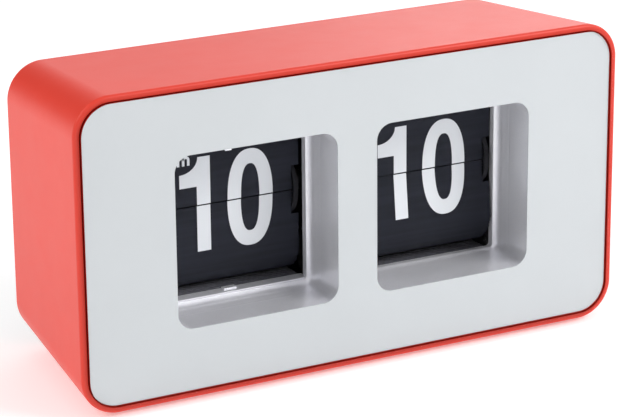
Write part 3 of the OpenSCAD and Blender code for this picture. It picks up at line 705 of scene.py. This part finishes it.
def make_prints(drum, name, mark):
    """The digits that show now, 10, and those that the falling leaf uncovers, 11."""
    half_pitch = drum["pitch"] / 2
    upper_now = [one_half(True), zero_half(True), *mark]
    upper_next = [one_half(True), one_half(True, UNITS_RIGHT), *mark]
    lower_now = [one_half(False), zero_half(False)]
    lower_next = [one_half(False), one_half(False, UNITS_RIGHT)]

    # the leaf that falls: the old upper half on its front, the new lower half on its back
    pin_up = drum["r"] * math.sin(math.radians(half_pitch))
    flap = leaf_matrix(drum, half_pitch, drum["start"], 0)
    print_on_leaf(f"{name}_upper_digits", upper_now, flap, lambda v: v - pin_up, -1, drum["body"])
    print_on_leaf(f"{name}_next_lower_digits", lower_next, flap, lambda v: pin_up - v, 1, drum["body"])

    # the leaf behind it
    next_turn = 3 * half_pitch
    pin_next = drum["r"] * math.sin(math.radians(next_turn))
    back = max(drum["r"] * (1 - math.cos(math.radians(next_turn))), drum["next"])
    behind = leaf_matrix(drum, next_turn, back, 0)

    def above_foot(v):
        return max(v, drum["foot"]) - pin_next

    print_on_leaf(f"{name}_next_upper_digits", upper_next, behind, above_foot, -1, "case")

    # the front leaf of those that have fallen
    set_back = 0.1
    fallen = leaf_matrix(drum, -half_pitch, set_back, 180 + drum["tilt"])
    print_on_leaf(f"{name}_lower_digits", lower_now, fallen, lambda v: -v - pin_up, 1, "case")


# ---------- CAD nodes kept, or kept with softened edges ----------

def softened(node, name, width_mm, segments, body):
    """A copy of a CAD node with its sharp edges rounded off, which stands for that node."""
    weld, flat_angle, sharp_angle = 2e-6, 1.5, 35
    source = frame["nodes"][node]
    bm = bmesh.new()
    bm.from_mesh(source.data)
    bm.transform(source.matrix_world)
    bmesh.ops.remove_doubles(bm, verts=bm.verts, dist=weld)
    bmesh.ops.dissolve_limit(bm, angle_limit=math.radians(flat_angle), verts=bm.verts, edges=bm.edges)
    limit = math.radians(sharp_angle)
    edges = [e for e in bm.edges if len(e.link_faces) == 2 and e.calc_face_angle(0) > limit]
    bmesh.ops.bevel(
        bm, geom=edges, offset=width_mm * MM, offset_type="OFFSET", segments=segments, profile=0.5,
        affect="EDGES", clamp_overlap=True,
    )
    slot = next(s["material_slot"] for s in frame["record"]["subparts"] if s["node"] == node)
    piece = new_piece(name, bm, slot, body, 40)
    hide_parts(node)


def dress_cad_nodes():
    """Gives every CAD node that stays its slot's material."""
    for row in frame["record"]["subparts"]:
        node = frame["nodes"][row["node"]]
        if not node.material_slots:
            node.data.materials.append(None)
        for slot in node.material_slots:
            slot.material = MATERIALS[row["material_slot"]]


# ---------- stage ----------
WORLD_FRONT, WORLD_BACK = 0.61, 0.95
DARK_PATCH = (-0.3, 0.84, 0.43)  # the way to its middle
PATCH_EDGE, PATCH_CORE = 0.76, 0.92  # cosines of the angles from that way to its edge and its core
PATCH_LEFT = 0.02  # how much light is left in its core


def make_floor():
    """A plain pale floor that glows a little, as a lit paper sweep does."""
    m = Nodes("floor_pale")
    shader = m.principled(Roughness=0.9, Specular_IOR_Level=0.1)
    shader.inputs["Emission Color"].default_value = (1, 1, 1, 1)
    shader.inputs["Emission Strength"].default_value = 0.29
    pale = m.blend(m.spread(m.noise(400, 2), 0, 1), (0.93, 0.93, 0.93, 1), (0.95, 0.95, 0.95, 1))
    m.join(pale, shader.inputs["Base Color"])
    bm = bmesh.new()
    half = 6.0
    corners = ((-half, -half), (half, -half), (half, half), (-half, half))
    bm.faces.new([bm.verts.new((x, y, 0)) for x, y in corners])
    mesh = bpy.data.meshes.new("floor")
    bm.to_mesh(mesh)
    bm.free()
    mesh.materials.append(m.material)
    floor = bpy.data.objects.new("floor", mesh)
    bpy.context.collection.objects.link(floor)


def area_light(name, place, target, size, power):
    data = bpy.data.lights.new(name, "AREA")
    data.shape = "RECTANGLE"
    data.size, data.size_y = size
    data.energy = power
    data.color = (1, 1, 1)
    light = bpy.data.objects.new(name, data)
    bpy.context.collection.objects.link(light)
    light.location = place
    light.rotation_euler = (Vector(target) - Vector(place)).to_track_quat("-Z", "Y").to_euler()


def make_world():
    """Even studio light, stronger behind the clock, with one dark patch behind it on the left.

    The camera itself sees plain white.
    """
    world = bpy.data.worlds.new("studio")
    world.use_nodes = True
    tree = world.node_tree
    shader = tree.nodes["Background"]

    def map_range(value, source, result, shape="LINEAR"):
        node = tree.nodes.new("ShaderNodeMapRange")
        node.interpolation_type = shape
        node.inputs["From Min"].default_value, node.inputs["From Max"].default_value = source
        node.inputs["To Min"].default_value, node.inputs["To Max"].default_value = result
        tree.links.new(value, node.inputs["Value"])
        return node.outputs["Result"]

    place = tree.nodes.new("ShaderNodeTexCoord")
    split = tree.nodes.new("ShaderNodeSeparateXYZ")
    tree.links.new(place.outputs["Generated"], split.inputs["Vector"])
    behind = map_range(split.outputs["Y"], (0.1, 0.9), (WORLD_FRONT, WORLD_BACK))

    towards = tree.nodes.new("ShaderNodeVectorMath")
    towards.operation = "DOT_PRODUCT"
    towards.inputs[1].default_value = Vector(DARK_PATCH).normalized()
    tree.links.new(place.outputs["Generated"], towards.inputs[0])
    patch = map_range(towards.outputs["Value"], (PATCH_EDGE, PATCH_CORE), (1, PATCH_LEFT), "SMOOTHSTEP")

    light = tree.nodes.new("ShaderNodeMath")
    light.operation = "MULTIPLY"
    tree.links.new(behind, light.inputs[0])
    tree.links.new(patch, light.inputs[1])

    ray = tree.nodes.new("ShaderNodeLightPath")
    pick = tree.nodes.new("ShaderNodeMix")
    pick.inputs["B"].default_value = 1.0
    tree.links.new(ray.outputs["Is Camera Ray"], pick.inputs["Factor"])
    tree.links.new(light.outputs["Value"], pick.inputs["A"])
    tree.links.new(pick.outputs["Result"], shader.inputs["Strength"])
    shader.inputs["Color"].default_value = (1, 1, 1, 1)
    bpy.context.scene.world = world


def make_lights():
    """Three soft boxes: place, size in metres and power in watts."""
    middle = (0, 0, 0.05)
    area_light("front_softbox", (0.45, -0.5, 0.55), middle, (0.4, 0.35), 3.5)
    area_light("side_softbox", (-0.5, 0.05, 0.45), middle, (0.3, 0.3), 1.2)
    area_light("back_softbox", (1.1, 1.15, 0.5), middle, (0.9, 0.6), 3.0)


# ---------- put it together ----------

dress_cad_nodes()
make_case_shell()
make_front_plate()
make_window_print()
make_bezel()
make_prints(MINUTE, "minute", [])
make_prints(HOUR, "hour", am_mark())
softened("rear_cover", "rear_cover_shell", 0.35, 3, "case")
softened("battery_door", "battery_door_panel", 0.25, 2, "door")
softened("rubber_feet", "rubber_foot_pads", 0.4, 3, "case")
make_floor()
make_world()
make_lights()
bpy.context.scene.view_settings.view_transform = "Standard"
